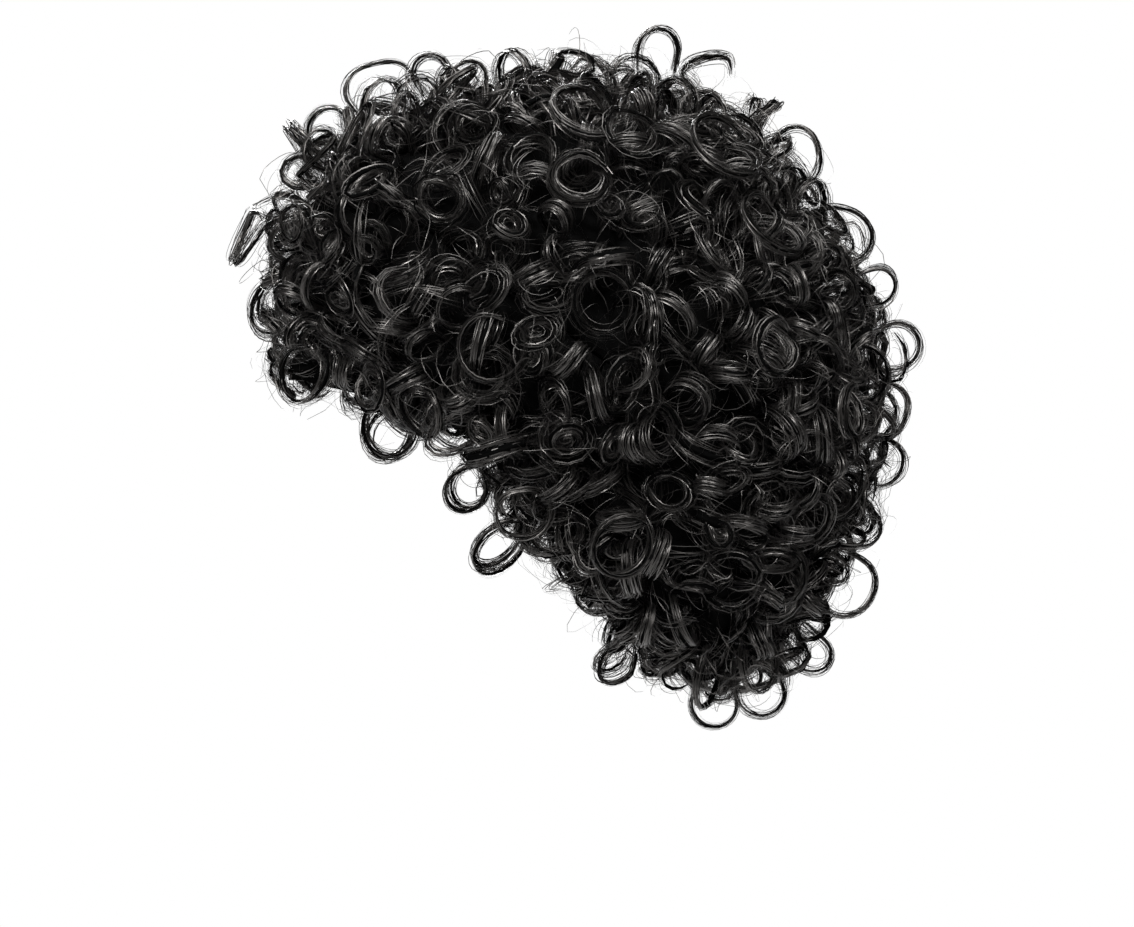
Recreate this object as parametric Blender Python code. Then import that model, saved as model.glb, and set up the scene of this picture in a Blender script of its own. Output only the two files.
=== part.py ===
"""A short, full, curly wig as worn: hair in tiers around an open cap, with loose curls standing clear of it.

Metres, +Z up, the face towards -Y and the wearer's left towards +X. The origin is the inside top of the
cap, where the wig sits on the head.
"""

import math

import bmesh
import bpy
import numpy as np
from mathutils import Vector
from mathutils.bvhtree import BVHTree

# The inside of the cap is half an egg on the head: its three half sizes
HEAD_HALF_BREADTH = 0.0775
HEAD_HALF_LENGTH = 0.0955
HEAD_HALF_HEIGHT = 0.090
CAP_WALL = 0.0015

# The free space for the neck is an oval tube that leans back as it goes down
NECK_HALF_BREADTH = 0.060
NECK_HALF_DEPTH = 0.050
NECK_LEAN = 0.10
NECK_TOP_Z = -0.150
NECK_TOP_Y = 0.018

# How far the hair stands off the head, front to back and to each side
HAIR_LOFT = 0.0695
HAIR_SIDE_LOFT = 0.0695
HAIR_LEAST = 0.012

# Clearances between pieces
CAP_CLEARANCE = 0.0003
SEAT_GAP = 0.0003
PARTING = 0.0005

# The round form of the hair is measured from one point inside the cap
CENTRE_BACK_SHARE = 0.42
CENTRE_DROP = -0.085
CENTRE = np.array([0.0, CENTRE_BACK_SHARE * HEAD_HALF_LENGTH, CENTRE_DROP])
HEAD_CENTRE = np.array([0.0, 0.0, -HEAD_HALF_HEIGHT])
HEAD_SIZES = np.array([HEAD_HALF_BREADTH, HEAD_HALF_LENGTH, HEAD_HALF_HEIGHT])
SIDE_REACH = HEAD_HALF_LENGTH + HAIR_LOFT
WIDE_REACH = HEAD_HALF_BREADTH + HAIR_SIDE_LOFT

# The outline in side view. up_deg turns from straight back over the top to the forehead, and reach is the
# distance from the centre as a share of SIDE_REACH.
OUTLINE = (
    # up_deg, reach
    (-100, 0.80),
    (-80, 0.97),
    (-64, 1.07),
    (-50, 1.02),
    (-32, 0.93),
    (-10, 0.905),
    (14, 0.905),
    (38, 0.895),
    (60, 0.945),
    (85, 0.950),
    (108, 0.965),
    (128, 1.035),
    (146, 1.045),
    (160, 0.960),
    (174, 0.880),
    (190, 0.840),
    (230, 0.800),
    (260, 0.800),
)

# Tiers are laid out as rings round an axis from the chin to the back of the crown. reach_deg counts from the
# crown down, and turn_deg round the axis, with 0 over the forehead, 90 over the left ear and 180 over the nape.
CROWN_LEAN = math.radians(35.3)
CROWN_AXIS = np.array([0.0, math.sin(CROWN_LEAN), math.cos(CROWN_LEAN)])
FRONT_AXIS = np.array([0.0, -math.cos(CROWN_LEAN), math.sin(CROWN_LEAN)])
LEFT_AXIS = np.array([1.0, 0.0, 0.0])

HAIRLINE = (
    # turn_deg, reach_deg
    (0, 124.0),
    (24, 122.5),
    (46, 120.5),
    (70, 120.0),
    (89, 124.5),
    (104, 130.0),
    (128, 131.5),
    (150, 132.0),
    (180, 127.0),
)
CROWN_REACH = 36.0
TIER_REACH = 82.0

# Hair thins to a rounded edge along the hairline
EDGE_ROUND_DEG = 24.0
EDGE_SHARE = 0.30

# The cap's rim, as a share of the head's half height below the top
CAP_RIM = (
    # turn_deg, drop
    (0, 0.56),
    (38, 0.66),
    (66, 1.16),
    (90, 1.00),
    (114, 1.16),
    (150, 1.52),
    (180, 1.62),
)

# Each curl on the surface is a mound
MOUND_COUNT = 170
MOUND_HEIGHT = 0.010
MOUND_SPAN = 0.135
GOLDEN_TURN = math.pi * (3 - math.sqrt(5))

# Mesh steps: the outer face of a tier has one quad about every STEP_DEG, the inner face half as many
STEP_DEG = 5.5
# A flat facet of the inner face sags towards the cap by this much for each square metre of reach, as the head
# bends most sharply at its front and back, with a radius of half breadth squared over half length
SAG_SLACK = 1.448836381
FACET_SAG = SAG_SLACK * math.radians(2 * STEP_DEG) ** 2 * HEAD_HALF_LENGTH / (8 * HEAD_HALF_BREADTH**2)
CAP_COLUMNS = 40
CAP_ROWS = 9

TIERS = (
    # name, near edge, far edge (None is the hairline), first turn, last turn
    ("front_top_hair", CROWN_REACH, TIER_REACH, -45, 45),
    ("left_upper_hair", CROWN_REACH, TIER_REACH, 45, 135),
    ("back_upper_hair", CROWN_REACH, TIER_REACH, 135, 225),
    ("right_upper_hair", CROWN_REACH, TIER_REACH, 225, 315),
    ("fringe_hair", TIER_REACH, None, -40, 40),
    ("left_temple_hair", TIER_REACH, None, 40, 92),
    ("left_side_hair", TIER_REACH, None, 92, 145),
    ("nape_hair", TIER_REACH, None, 145, 215),
    ("right_side_hair", TIER_REACH, None, 215, 268),
    ("right_temple_hair", TIER_REACH, None, 268, 320),
)

# Loose curls. up_deg and out_deg aim at the place on the hair, up as in OUTLINE and out towards the wearer's
# left. radius is of the curl, and long is its length as a share of its width. turns is how much of the ring
# shows. A curl stands straight out with tip_deg 0 and lies along the hair towards the hairline with 90. With
# spin_deg 90 its open side faces sideways, and with 0 it faces along the hair or, lying, straight out.
# drift is how far it runs towards its open side.
CURL_THICK = 0.0028
CURL_WIDE = 0.0060
CURL_STEPS = 13
CURL_SIDES = 5

# Curls stay this many degrees inside the hairline, and are lowered onto the hair from this far out
HAIRLINE_INSET = 3.0
RAY_LIFT = 0.05

CURLS = (
    # name, up_deg, out_deg, radius, long, turns, tip_deg, spin_deg, drift
    ("fringe_coil_curl", 151, 6, 0.0140, 1.0, 0.90, 88, 8, 0.010),
    ("fringe_low_curl", 163, -12, 0.0120, 1.0, 0.62, 40, 60, 0.006),
    ("brow_curl", 171, 30, 0.0130, 1.0, 0.88, 90, 10, 0.006),
    ("front_edge_curl", 138, 8, 0.0085, 1.1, 0.66, 0, 5, 0.006),
    ("front_ring_curl", 133, -8, 0.0105, 1.0, 0.66, 0, 85, 0.006),
    ("crown_wide_curl", 123, 5, 0.0140, 1.0, 0.54, 0, 80, 0.006),
    ("crown_small_curl", 115, -6, 0.0100, 1.0, 0.62, 0, 95, 0.006),
    ("top_ring_curl", 76, 4, 0.0115, 1.0, 0.56, 25, 70, 0.006),
    ("top_flat_curl", 66, -6, 0.0115, 1.0, 0.66, 75, 40, 0.006),
    ("back_tiny_curl", 56, 5, 0.0065, 1.0, 0.66, 0, 80, 0.005),
    ("back_high_curl", 46, 3, 0.0145, 1.0, 0.58, 0, 95, 0.007),
    ("back_shoulder_curl", 31, -4, 0.0130, 1.0, 0.56, 0, 85, 0.007),
    ("back_step_curl", 19, 7, 0.0090, 1.0, 0.62, 0, 60, 0.006),
    ("back_oval_curl", 7, 3, 0.0120, 1.0, 0.62, 0, 70, 0.007),
    ("back_mid_curl", -4, -5, 0.0115, 1.0, 0.58, 0, 100, 0.007),
    ("back_round_curl", -14, 4, 0.0105, 1.0, 0.58, 0, 90, 0.006),
    ("back_low_curl", -25, -6, 0.0085, 1.0, 0.60, 0, 65, 0.006),
    ("back_thin_curl", -36, 4, 0.0140, 1.0, 0.62, 0, 95, 0.007),
    ("nape_high_curl", -48, -4, 0.0100, 1.0, 0.62, 0, 75, 0.006),
    ("nape_mid_curl", -58, 5, 0.0110, 1.0, 0.62, 10, 90, 0.006),
    ("nape_low_curl", -65, -3, 0.0115, 1.0, 0.66, 30, 80, 0.006),
    ("left_temple_curl", 200, 41, 0.0130, 1.0, 0.86, 70, 10, 0.008),
    ("right_temple_curl", 200, -41, 0.0130, 1.0, 0.86, 70, -10, 0.008),
    ("left_sideburn_curl", 220, 60, 0.0095, 1.1, 0.86, 80, 10, 0.007),
    ("right_sideburn_curl", 220, -60, 0.0095, 1.1, 0.86, 80, -10, 0.007),
    ("left_ear_curl", 241, 39, 0.0100, 1.6, 0.90, 80, 15, 0.006),
    ("right_ear_curl", 241, -39, 0.0100, 1.6, 0.90, 80, -15, 0.006),
    ("left_neck_curl", 273, 22, 0.0110, 1.0, 0.66, 70, 75, 0.006),
    ("right_neck_curl", 273, -22, 0.0110, 1.0, 0.66, 70, -75, 0.006),
    ("left_top_curl", 84, 33, 0.0150, 1.0, 0.86, 88, 8, 0.007),
    ("left_high_curl", 84, 49, 0.0140, 1.0, 0.90, 90, 0, 0.007),
    ("left_large_curl", 58, 28, 0.0165, 1.2, 0.92, 88, -8, 0.008),
    ("left_crown_curl", 43, 35, 0.0165, 1.0, 0.88, 86, -8, 0.007),
    ("left_back_curl", 15, 50, 0.0130, 1.0, 0.84, 90, 12, 0.007),
    ("left_back_low_curl", 0, 30, 0.0125, 1.0, 0.86, 86, 10, 0.007),
    ("left_front_curl", 138, 73, 0.0155, 1.0, 0.84, 92, -6, 0.007),
    ("left_lobe_curl", 250, 70, 0.0120, 1.0, 0.86, 90, 8, 0.007),
    ("left_low_curl", 298, 64, 0.0145, 1.0, 0.94, 88, 5, 0.007),
    ("right_top_curl", 80, -38, 0.0145, 1.0, 0.88, 88, -8, 0.007),
    ("right_front_curl", 140, -62, 0.0150, 1.0, 0.86, 90, 10, 0.007),
    ("right_crown_curl", 34, -42, 0.0155, 1.0, 0.86, 86, 8, 0.007),
    ("right_back_curl", -8, -46, 0.0130, 1.0, 0.86, 90, -12, 0.007),
    ("right_low_curl", 286, -58, 0.0145, 1.0, 0.90, 88, -5, 0.007),
)


def flowing(table, value):
    """The second column of a table at value, on a curve that runs through its rows without corners."""
    keys = np.array([row[0] for row in table], float)
    levels = np.array([row[1] for row in table], float)
    slopes = np.gradient(levels, keys)
    value = np.clip(value, keys[0], keys[-1])
    place = np.clip(np.searchsorted(keys, value, side="right") - 1, 0, len(keys) - 2)
    span = keys[place + 1] - keys[place]
    t = (value - keys[place]) / span
    start = (1 + 2 * t) * (1 - t) ** 2 * levels[place] + t * (1 - t) ** 2 * span * slopes[place]
    end = t**2 * (3 - 2 * t) * levels[place + 1] + t**2 * (t - 1) * span * slopes[place + 1]
    return start + end


def aim(reach_deg, turn_deg):
    """Unit directions from the centre, reach_deg down from the crown axis and turn_deg round it."""
    reach = np.radians(np.asarray(reach_deg, float))[..., None]
    turn = np.radians(np.asarray(turn_deg, float))[..., None]
    around = FRONT_AXIS * np.cos(turn) + LEFT_AXIS * np.sin(turn)
    return CROWN_AXIS * np.cos(reach) + around * np.sin(reach)


def reach_and_turn(ways):
    """The reach and turn, in degrees, of unit directions."""
    reach = np.degrees(np.arccos(np.clip(ways @ CROWN_AXIS, -1, 1)))
    turn = np.degrees(np.arctan2(ways @ LEFT_AXIS, ways @ FRONT_AXIS))
    return reach, turn


def side_aim(up_deg, out_deg):
    """One unit direction from the centre, by its angle in side view and its angle out to the left."""
    up, out = math.radians(up_deg), math.radians(out_deg)
    return np.array([math.sin(out), math.cos(out) * math.cos(up), math.cos(out) * math.sin(up)])


def hairline(turn_deg):
    """How far down the hair reaches at each turn. Left and right match."""
    turn = np.abs((np.asarray(turn_deg, float) + 180) % 360 - 180)
    return flowing(HAIRLINE, turn)


def far_root(square, linear, constant):
    """The larger root of square t2 + 2 linear t + constant, where the constant is negative."""
    return (-linear + np.sqrt(linear**2 - square * constant)) / square


def inner_reach(ways):
    """Distance from the centre to the hair's inner face: clear of the cap or of the neck, whichever is more."""
    sizes = HEAD_SIZES + CAP_WALL + CAP_CLEARANCE
    start = (CENTRE - HEAD_CENTRE) / sizes
    step = ways / sizes
    square = (step**2).sum(-1)
    to_cap = far_root(square, step @ start, start @ start - 1)
    neck_y = NECK_TOP_Y + NECK_LEAN * (NECK_TOP_Z - CENTRE[2])
    neck_start = np.array([CENTRE[0] / NECK_HALF_BREADTH, (CENTRE[1] - neck_y) / NECK_HALF_DEPTH])
    across = ways[..., 0] / NECK_HALF_BREADTH
    back = (ways[..., 1] + NECK_LEAN * ways[..., 2]) / NECK_HALF_DEPTH
    square = np.maximum(across**2 + back**2, 1e-6)
    linear = across * neck_start[0] + back * neck_start[1]
    to_neck = far_root(square, linear, neck_start @ neck_start - 1)
    reach = np.where(ways[..., 2] < 0, np.maximum(to_cap, to_neck), to_cap)
    return reach + FACET_SAG * reach**2


def mound_sites():
    """Directions of the curls' middles, spread evenly by turning the golden angle from one to the next."""
    count = np.arange(MOUND_COUNT) + 0.5
    lowest = math.cos(math.radians(max(row[1] for row in HAIRLINE) + 4))
    reach = np.degrees(np.arccos(1 - count / MOUND_COUNT * (1 - lowest)))
    return aim(reach, np.degrees(count * GOLDEN_TURN))


MOUND_SITES = mound_sites()


def mounds(ways):
    """Height of the curls above the round form: domes that meet in creases, taller and lower by turns."""
    apart = np.arccos(np.clip(ways @ MOUND_SITES.T, -1, 1))
    nearest = apart.min(-1)
    tall = 0.75 + 0.25 * np.cos(2.4 * apart.argmin(-1))
    return MOUND_HEIGHT * tall * (0.5 - (nearest / MOUND_SPAN) ** 2)


def outer_reach(ways):
    """Distance from the centre to the hair's outer face.

    An ellipse blends the side outline into the half width, mounds are added, and the edge along the
    hairline is rounded down towards the inner face.
    """
    up = np.degrees(np.arctan2(ways[..., 2], ways[..., 1]))
    up = np.where(up < -100, up + 360, up)
    side = SIDE_REACH * flowing(OUTLINE, up)
    out = np.abs(ways[..., 0])
    form = 1 / np.sqrt((1 - out**2) / side**2 + out**2 / WIDE_REACH**2)
    inner = inner_reach(ways)
    outer = np.maximum(form + mounds(ways), inner + HAIR_LEAST)
    reach, turn = reach_and_turn(ways)
    left = np.clip((hairline(turn) - reach) / EDGE_ROUND_DEG, 0, 1)
    rounded = EDGE_SHARE + (1 - EDGE_SHARE) * np.sqrt(1 - (1 - left) ** 2)
    return inner + (outer - inner) * rounded


def made(name, points, faces, material, smooth_under=40):
    """One object from points and faces, shaded smooth except over sharp edges, with its faces outwards."""
    mesh = bpy.data.meshes.new(name)
    mesh.from_pydata([tuple(p) for p in points], [], faces)
    shape = bmesh.new()
    shape.from_mesh(mesh)
    bmesh.ops.recalc_face_normals(shape, faces=shape.faces)
    bmesh.ops.triangulate(shape, faces=shape.faces, quad_method="SHORT_EDGE")
    shape.to_mesh(mesh)
    shape.free()
    mesh.materials.append(material)
    mesh.shade_smooth()
    mesh.set_sharp_from_angle(angle=math.radians(smooth_under))
    piece = bpy.data.objects.new(name, mesh)
    bpy.context.scene.collection.objects.link(piece)
    return piece


def finish_of(name, colour, roughness, sheen=0.0):
    """A Principled material with one colour and roughness."""
    material = bpy.data.materials.new(name)
    material.use_nodes = True
    shader = material.node_tree.nodes["Principled BSDF"]
    shader.inputs["Base Color"].default_value = (*colour, 1)
    shader.inputs["Roughness"].default_value = roughness
    shader.inputs["Metallic"].default_value = 0.0
    shader.inputs["Sheen Weight"].default_value = sheen
    return material


def even(count):
    """The next even whole number, at least 4, so that the inner face can have half the steps."""
    return max(4, 2 * math.ceil(count / 2))


def tier_edges(near, far, first, last):
    """A tier's grid of reach and turn, drawn in from its neighbours by half a parting at the inner face."""
    middle = (first + last) / 2
    short = inner_reach(aim(np.array([near]), np.array([middle]))).min()
    draw_in = math.degrees(PARTING / 2 / min(short, HEAD_HALF_LENGTH))
    widest = hairline(middle) if far is None else far
    rows = even((widest - near) / STEP_DEG)
    girth = math.sin(math.radians(min((near + widest) / 2, 90)))
    columns = even((last - first) * girth / STEP_DEG)
    side_draw = draw_in / math.sin(math.radians(near))
    turns = np.linspace(first + side_draw, last - side_draw, columns + 1)
    ends = hairline(turns) if far is None else np.full(columns + 1, far - draw_in)
    down = np.linspace(0, 1, rows + 1)[:, None]
    reaches = (near + draw_in) * (1 - down) + ends[None, :] * down
    return reaches, np.broadcast_to(turns, reaches.shape)


def grid_faces(rows, columns, start, flip):
    """Quads of a grid of rows + 1 by columns + 1 points that begins at index start."""
    wide = columns + 1
    corners = ((0, 0), (0, 1), (1, 1), (1, 0))
    order = corners[::-1] if flip else corners
    return [
        tuple(start + (r + dr) * wide + c + dc for dr, dc in order)
        for r in range(rows)
        for c in range(columns)
    ]


def edge_of(rows, columns, start):
    """The point indices round a grid, in order."""
    wide = columns + 1
    top = [start + c for c in range(columns)]
    right = [start + r * wide + columns for r in range(rows)]
    bottom = [start + rows * wide + c for c in range(columns, 0, -1)]
    left = [start + r * wide for r in range(rows, 0, -1)]
    return top + right + bottom + left


def wall_faces(fine, coarse):
    """Triangles between a closed edge and another with half as many points."""
    faces = []
    for i in range(len(coarse)):
        here, ahead = coarse[i], coarse[(i + 1) % len(coarse)]
        first, middle = fine[2 * i], fine[2 * i + 1]
        last = fine[(2 * i + 2) % len(fine)]
        faces += [(first, middle, here), (here, middle, ahead), (middle, last, ahead)]
    return faces


def build_tier(name, near, far, first, last, hair):
    """One tier of hair: a fine outer face with its curls, a coarser inner face, and flat walls between."""
    reaches, turns = tier_edges(near, far, first, last)
    rows, columns = reaches.shape[0] - 1, reaches.shape[1] - 1
    ways = aim(reaches, turns)
    outer = CENTRE + ways * outer_reach(ways)[..., None]
    inner_ways = ways[::2, ::2]
    inner = CENTRE + inner_ways * inner_reach(inner_ways)[..., None]
    points = np.concatenate([outer.reshape(-1, 3), inner.reshape(-1, 3)])
    start = (rows + 1) * (columns + 1)
    faces = grid_faces(rows, columns, 0, False)
    faces += grid_faces(rows // 2, columns // 2, start, True)
    faces += wall_faces(edge_of(rows, columns, 0), edge_of(rows // 2, columns // 2, start))
    return made(name, points, faces, hair)


def build_crown(hair):
    """The round tier on the crown: rings of points about the crown axis, with a point at the middle."""
    short = inner_reach(aim(np.array([CROWN_REACH]), np.array([180.0]))).min()
    edge = CROWN_REACH - math.degrees(PARTING / 2 / short)
    rings = even(edge / STEP_DEG)
    columns = 32
    points, faces = [], []
    loops = []
    for depth, every in ((outer_reach, 1), (inner_reach, 2)):
        turns = np.arange(0, columns, every) * 360 / columns
        pole = len(points)
        way = aim(np.array([0.0]), np.array([0.0]))
        points.append((CENTRE + way * depth(way)[:, None])[0])
        last_ring = None
        for ring in range(every, rings + 1, every):
            ways = aim(np.full(len(turns), edge * ring / rings), turns)
            begin = len(points)
            points += list(CENTRE + ways * depth(ways)[:, None])
            here = [begin + i for i in range(len(turns))]
            for i in range(len(turns)):
                j = (i + 1) % len(turns)
                if last_ring is None:
                    faces.append((pole, here[i], here[j]))
                else:
                    faces.append((last_ring[i], here[i], here[j], last_ring[j]))
            last_ring = here
        loops.append(last_ring)
    faces += wall_faces(loops[0], loops[1])
    return made("crown_hair", points, faces, hair)


def build_cap(net):
    """The cap: an egg-shaped shell one wall thick, cut off at a rim that dips at the ears and the nape."""
    turns = np.arange(CAP_COLUMNS) * 360 / CAP_COLUMNS
    folded = np.abs((turns + 180) % 360 - 180)
    ends = np.arccos(1 - flowing(CAP_RIM, folded))
    across = np.stack([np.sin(np.radians(turns)), -np.cos(np.radians(turns))], -1)
    points, faces, rims = [], [], []
    for wall in (CAP_WALL, 0.0):
        sizes = HEAD_SIZES + wall
        pole = len(points)
        points.append(HEAD_CENTRE + np.array([0, 0, sizes[2]]))
        last = None
        for row in range(1, CAP_ROWS + 1):
            down = ends * row / CAP_ROWS
            ring = np.stack([across[:, 0] * np.sin(down), across[:, 1] * np.sin(down), np.cos(down)], -1)
            begin = len(points)
            points += list(HEAD_CENTRE + ring * sizes)
            here = [begin + i for i in range(CAP_COLUMNS)]
            for i in range(CAP_COLUMNS):
                j = (i + 1) % CAP_COLUMNS
                if last is None:
                    faces.append((pole, here[i], here[j]))
                else:
                    faces.append((last[i], here[i], here[j], last[j]))
            last = here
        rims.append(last)
    for i in range(CAP_COLUMNS):
        j = (i + 1) % CAP_COLUMNS
        faces.append((rims[0][i], rims[0][j], rims[1][j], rims[1][i]))
    return made("wig_cap", points, faces, net)


def curl_frame(up_deg, out_deg, tip_deg, spin_deg):
    """A curl's foot on the hair, straight out from there, the way it stands, the way it rolls and its open side."""
    way = side_aim(up_deg, out_deg)
    reach, turn = reach_and_turn(way)
    reach = min(reach, hairline(turn) - HAIRLINE_INSET)
    way = aim(reach, turn)
    foot = CENTRE + way * outer_reach(way)
    downhill = aim(reach + 90, turn)
    sideways = np.cross(way, downhill)
    tip, spin = math.radians(tip_deg), math.radians(spin_deg)
    stand = way * math.cos(tip) + downhill * math.sin(tip)
    roll = sideways * math.cos(spin) + np.cross(sideways, stand) * math.sin(spin)
    return foot, way, stand, roll, np.cross(roll, stand)


def curl_line(frame, radius, long, turns, drift):
    """Points along a curl: the outer part of an oval with its ends at the foot's height, running to one side."""
    foot, _, stand, roll, side = frame
    along = np.linspace(-0.5, 0.5, CURL_STEPS + 1)[:, None]
    angle = 2 * math.pi * turns * along
    middle = foot - stand * radius * long * math.cos(math.pi * turns)
    return middle + radius * (long * np.cos(angle) * stand + np.sin(angle) * roll) + side * drift * along


def curl_tube(line, side):
    """Points and faces of a flat lock along a line, wide towards its open side and thinner at its ends."""
    along = np.gradient(line, axis=0)
    along /= np.linalg.norm(along, axis=1)[:, None]
    wide = side - (along @ side)[:, None] * along
    wide /= np.linalg.norm(wide, axis=1)[:, None]
    thin = np.cross(along, wide)
    taper = np.interp(np.linspace(0, 1, len(line)), (0, 0.2, 0.75, 1), (0.7, 1, 0.9, 0.4))[:, None]
    points, faces = [], []
    for side in range(CURL_SIDES):
        angle = 2 * math.pi * side / CURL_SIDES
        points.append(line + taper * (wide * CURL_WIDE * math.cos(angle) + thin * CURL_THICK * math.sin(angle)) / 2)
    points = np.stack(points, axis=1).reshape(-1, 3)
    for step in range(len(line) - 1):
        for side in range(CURL_SIDES):
            ahead = (side + 1) % CURL_SIDES
            low, high = step * CURL_SIDES, (step + 1) * CURL_SIDES
            faces.append((low + side, low + ahead, high + ahead, high + side))
    faces.append(tuple(range(CURL_SIDES))[::-1])
    last = (len(line) - 1) * CURL_SIDES
    faces.append(tuple(last + side for side in range(CURL_SIDES)))
    return points, faces


def hair_tree(pieces):
    """One search tree over the faces of several pieces, and all their points."""
    points, faces = [], []
    for piece in pieces:
        start = len(points)
        points += [v.co.copy() for v in piece.data.vertices]
        faces += [[start + i for i in face.vertices] for face in piece.data.polygons]
    return BVHTree.FromPolygons(points, faces), np.array([tuple(p) for p in points])


def room_below(points, faces, way, tree, hair_points):
    """How far a curl can sink against a way before it meets the hair.

    Rays run down from the curl's points to the hair, and up from the hair's points to the curl.
    """
    down, up = Vector(-way), Vector(way)
    least = math.inf
    for point in points:
        hit = tree.ray_cast(Vector(point) + up * RAY_LIFT, down)[3]
        if hit is not None:
            least = min(least, hit - RAY_LIFT)
    own = BVHTree.FromPolygons([Vector(p) for p in points], faces)
    near = hair_points[np.linalg.norm(hair_points - points.mean(0), axis=1) < 2 * RAY_LIFT]
    for point in near:
        hit = own.ray_cast(Vector(point) - up * RAY_LIFT, up)[3]
        if hit is not None:
            least = min(least, hit - RAY_LIFT)
    return least


def build_curl(row, tree, hair_points, hair):
    """One loose curl, lowered straight onto the hair until only the seat's gap is left."""
    name, up_deg, out_deg, radius, long, turns, tip_deg, spin_deg, drift = row
    frame = curl_frame(up_deg, out_deg, tip_deg, spin_deg)
    points, faces = curl_tube(curl_line(frame, radius, long, turns, drift), frame[4])
    way = frame[1]
    points = points - way * room_below(points, faces, way, tree, hair_points)
    while BVHTree.FromPolygons([Vector(p) for p in points], faces).overlap(tree):
        points = points + way * SEAT_GAP / 2
    return made(name, points + way * SEAT_GAP, faces, hair, smooth_under=60)


def main():
    for old in list(bpy.data.objects):
        bpy.data.objects.remove(old)
    hair = finish_of("black_hair", (0.012, 0.011, 0.011), 0.38)
    net = finish_of("black_net", (0.016, 0.016, 0.017), 0.85, sheen=0.3)
    build_cap(net)
    pieces = [build_crown(hair)]
    pieces += [build_tier(*row, hair) for row in TIERS]
    tree, hair_points = hair_tree(pieces)
    for row in CURLS:
        build_curl(row, tree, hair_points, hair)


main()
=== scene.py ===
# %% [markdown]
# # A short, full, curly wig
#
# The real thing is a soft net cap with rows of synthetic hair sewn to it. Small bundles of strands, called
# locks, have been set round a rod, so each one springs into a ring. Rings of many sizes and angles pile up
# into a round shape, with stray strands between them.
#
# The CAD model gives the round shape, the cap and the places of the loose curls. Here each of those is
# replaced by real locks: a core each, dark and shineless as painted shade inside the lock, wrapped in many
# fine strands, worked out with numpy and sent to Blender in one go.

# %% Load the CAD frame
import math

import bpy
import numpy as np
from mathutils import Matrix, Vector
from mathutils.bvhtree import BVHTree


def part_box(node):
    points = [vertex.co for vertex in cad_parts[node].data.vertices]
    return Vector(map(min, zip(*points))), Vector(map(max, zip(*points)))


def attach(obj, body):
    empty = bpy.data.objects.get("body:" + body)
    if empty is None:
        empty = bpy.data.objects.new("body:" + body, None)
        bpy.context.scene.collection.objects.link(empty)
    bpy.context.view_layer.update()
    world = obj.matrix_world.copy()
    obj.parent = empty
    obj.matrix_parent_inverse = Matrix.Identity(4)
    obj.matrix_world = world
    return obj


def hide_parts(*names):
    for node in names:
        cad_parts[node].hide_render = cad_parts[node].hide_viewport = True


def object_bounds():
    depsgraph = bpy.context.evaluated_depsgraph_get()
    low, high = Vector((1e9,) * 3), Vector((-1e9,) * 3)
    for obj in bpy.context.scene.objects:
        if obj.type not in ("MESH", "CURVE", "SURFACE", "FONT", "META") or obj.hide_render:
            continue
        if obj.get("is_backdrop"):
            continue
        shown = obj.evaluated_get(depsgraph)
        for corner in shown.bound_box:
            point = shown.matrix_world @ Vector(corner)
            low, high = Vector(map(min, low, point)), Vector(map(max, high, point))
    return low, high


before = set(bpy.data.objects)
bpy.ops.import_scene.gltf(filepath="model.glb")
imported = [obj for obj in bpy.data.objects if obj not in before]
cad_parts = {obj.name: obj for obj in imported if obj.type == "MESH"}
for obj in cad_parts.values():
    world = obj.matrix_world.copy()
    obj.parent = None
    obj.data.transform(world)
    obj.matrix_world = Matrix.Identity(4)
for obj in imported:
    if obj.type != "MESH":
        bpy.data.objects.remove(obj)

cad_low, cad_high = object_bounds()
print("CAD box, mm:", [round(x * 1000) for x in (*cad_low, *cad_high)])

# %% [markdown]
# ## The camera
#
# The photograph is a side view from the left, so the camera looks along -X. One pixel of the photograph is
# 0.487 mm at the middle of the wig, and the top of the cap, which is the origin here, lies at a known pixel.
# From these two the lens and the place of the camera follow. A long lens from far away keeps the rings on the
# near side from looking too large.

# %% Place the camera
MM = 0.001
PHOTO_WIDE, PHOTO_TALL = 1134, 927
PIXEL = 0.487 * MM
CAP_TOP_ACROSS, CAP_TOP_DOWN = 494, 215
CAMERA_AWAY = 2.5
SENSOR = 36.0

scene = bpy.context.scene
camera = bpy.data.objects.new("camera", bpy.data.cameras.new("camera"))
scene.collection.objects.link(camera)
scene.camera = camera
camera.data.sensor_width = SENSOR
camera.data.lens = SENSOR * CAMERA_AWAY / (PHOTO_WIDE * PIXEL)
across = (PHOTO_WIDE / 2 - CAP_TOP_ACROSS) * PIXEL
up = (CAP_TOP_DOWN - PHOTO_TALL / 2) * PIXEL
camera.location = (CAMERA_AWAY, across, up)
camera.rotation_euler = (math.pi / 2, 0, math.pi / 2)
print("lens, mm:", round(camera.data.lens))

# %% [markdown]
# ## The studio
#
# Black hair is seen only by what it reflects. A white room would turn it grey, so the room gives little light
# and stays white only to the camera, and so does the floor. Four soft lamps, two on the near side, one overhead
# and one on the far side, draw the streaks along the rings. The Standard view transform keeps the backdrop a
# clean white. The floor lies far below, because the wig is held up in the air.

# %% Light the studio
FLOOR_Z = -1.35
FLOOR_RADIUS = 9.0
FLOOR_SIDES = 64
ROOM_GLOW = 0.06
FLOOR_GLOW = 0.62
WIG_MIDDLE = Vector((0, 0.03, -0.09))
LAMPS = (
    # name, place in metres, width in metres, power in watts
    ("key_lamp", (1.85, -0.8, 1.1), 0.75, 112),
    ("fill_lamp", (1.6, 1.1, 1.1), 0.9, 58),
    ("top_lamp", (0.2, 0.1, 1.8), 1.2, 60),
    ("far_lamp", (-1.9, -0.4, 0.9), 0.9, 85),
)


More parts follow.
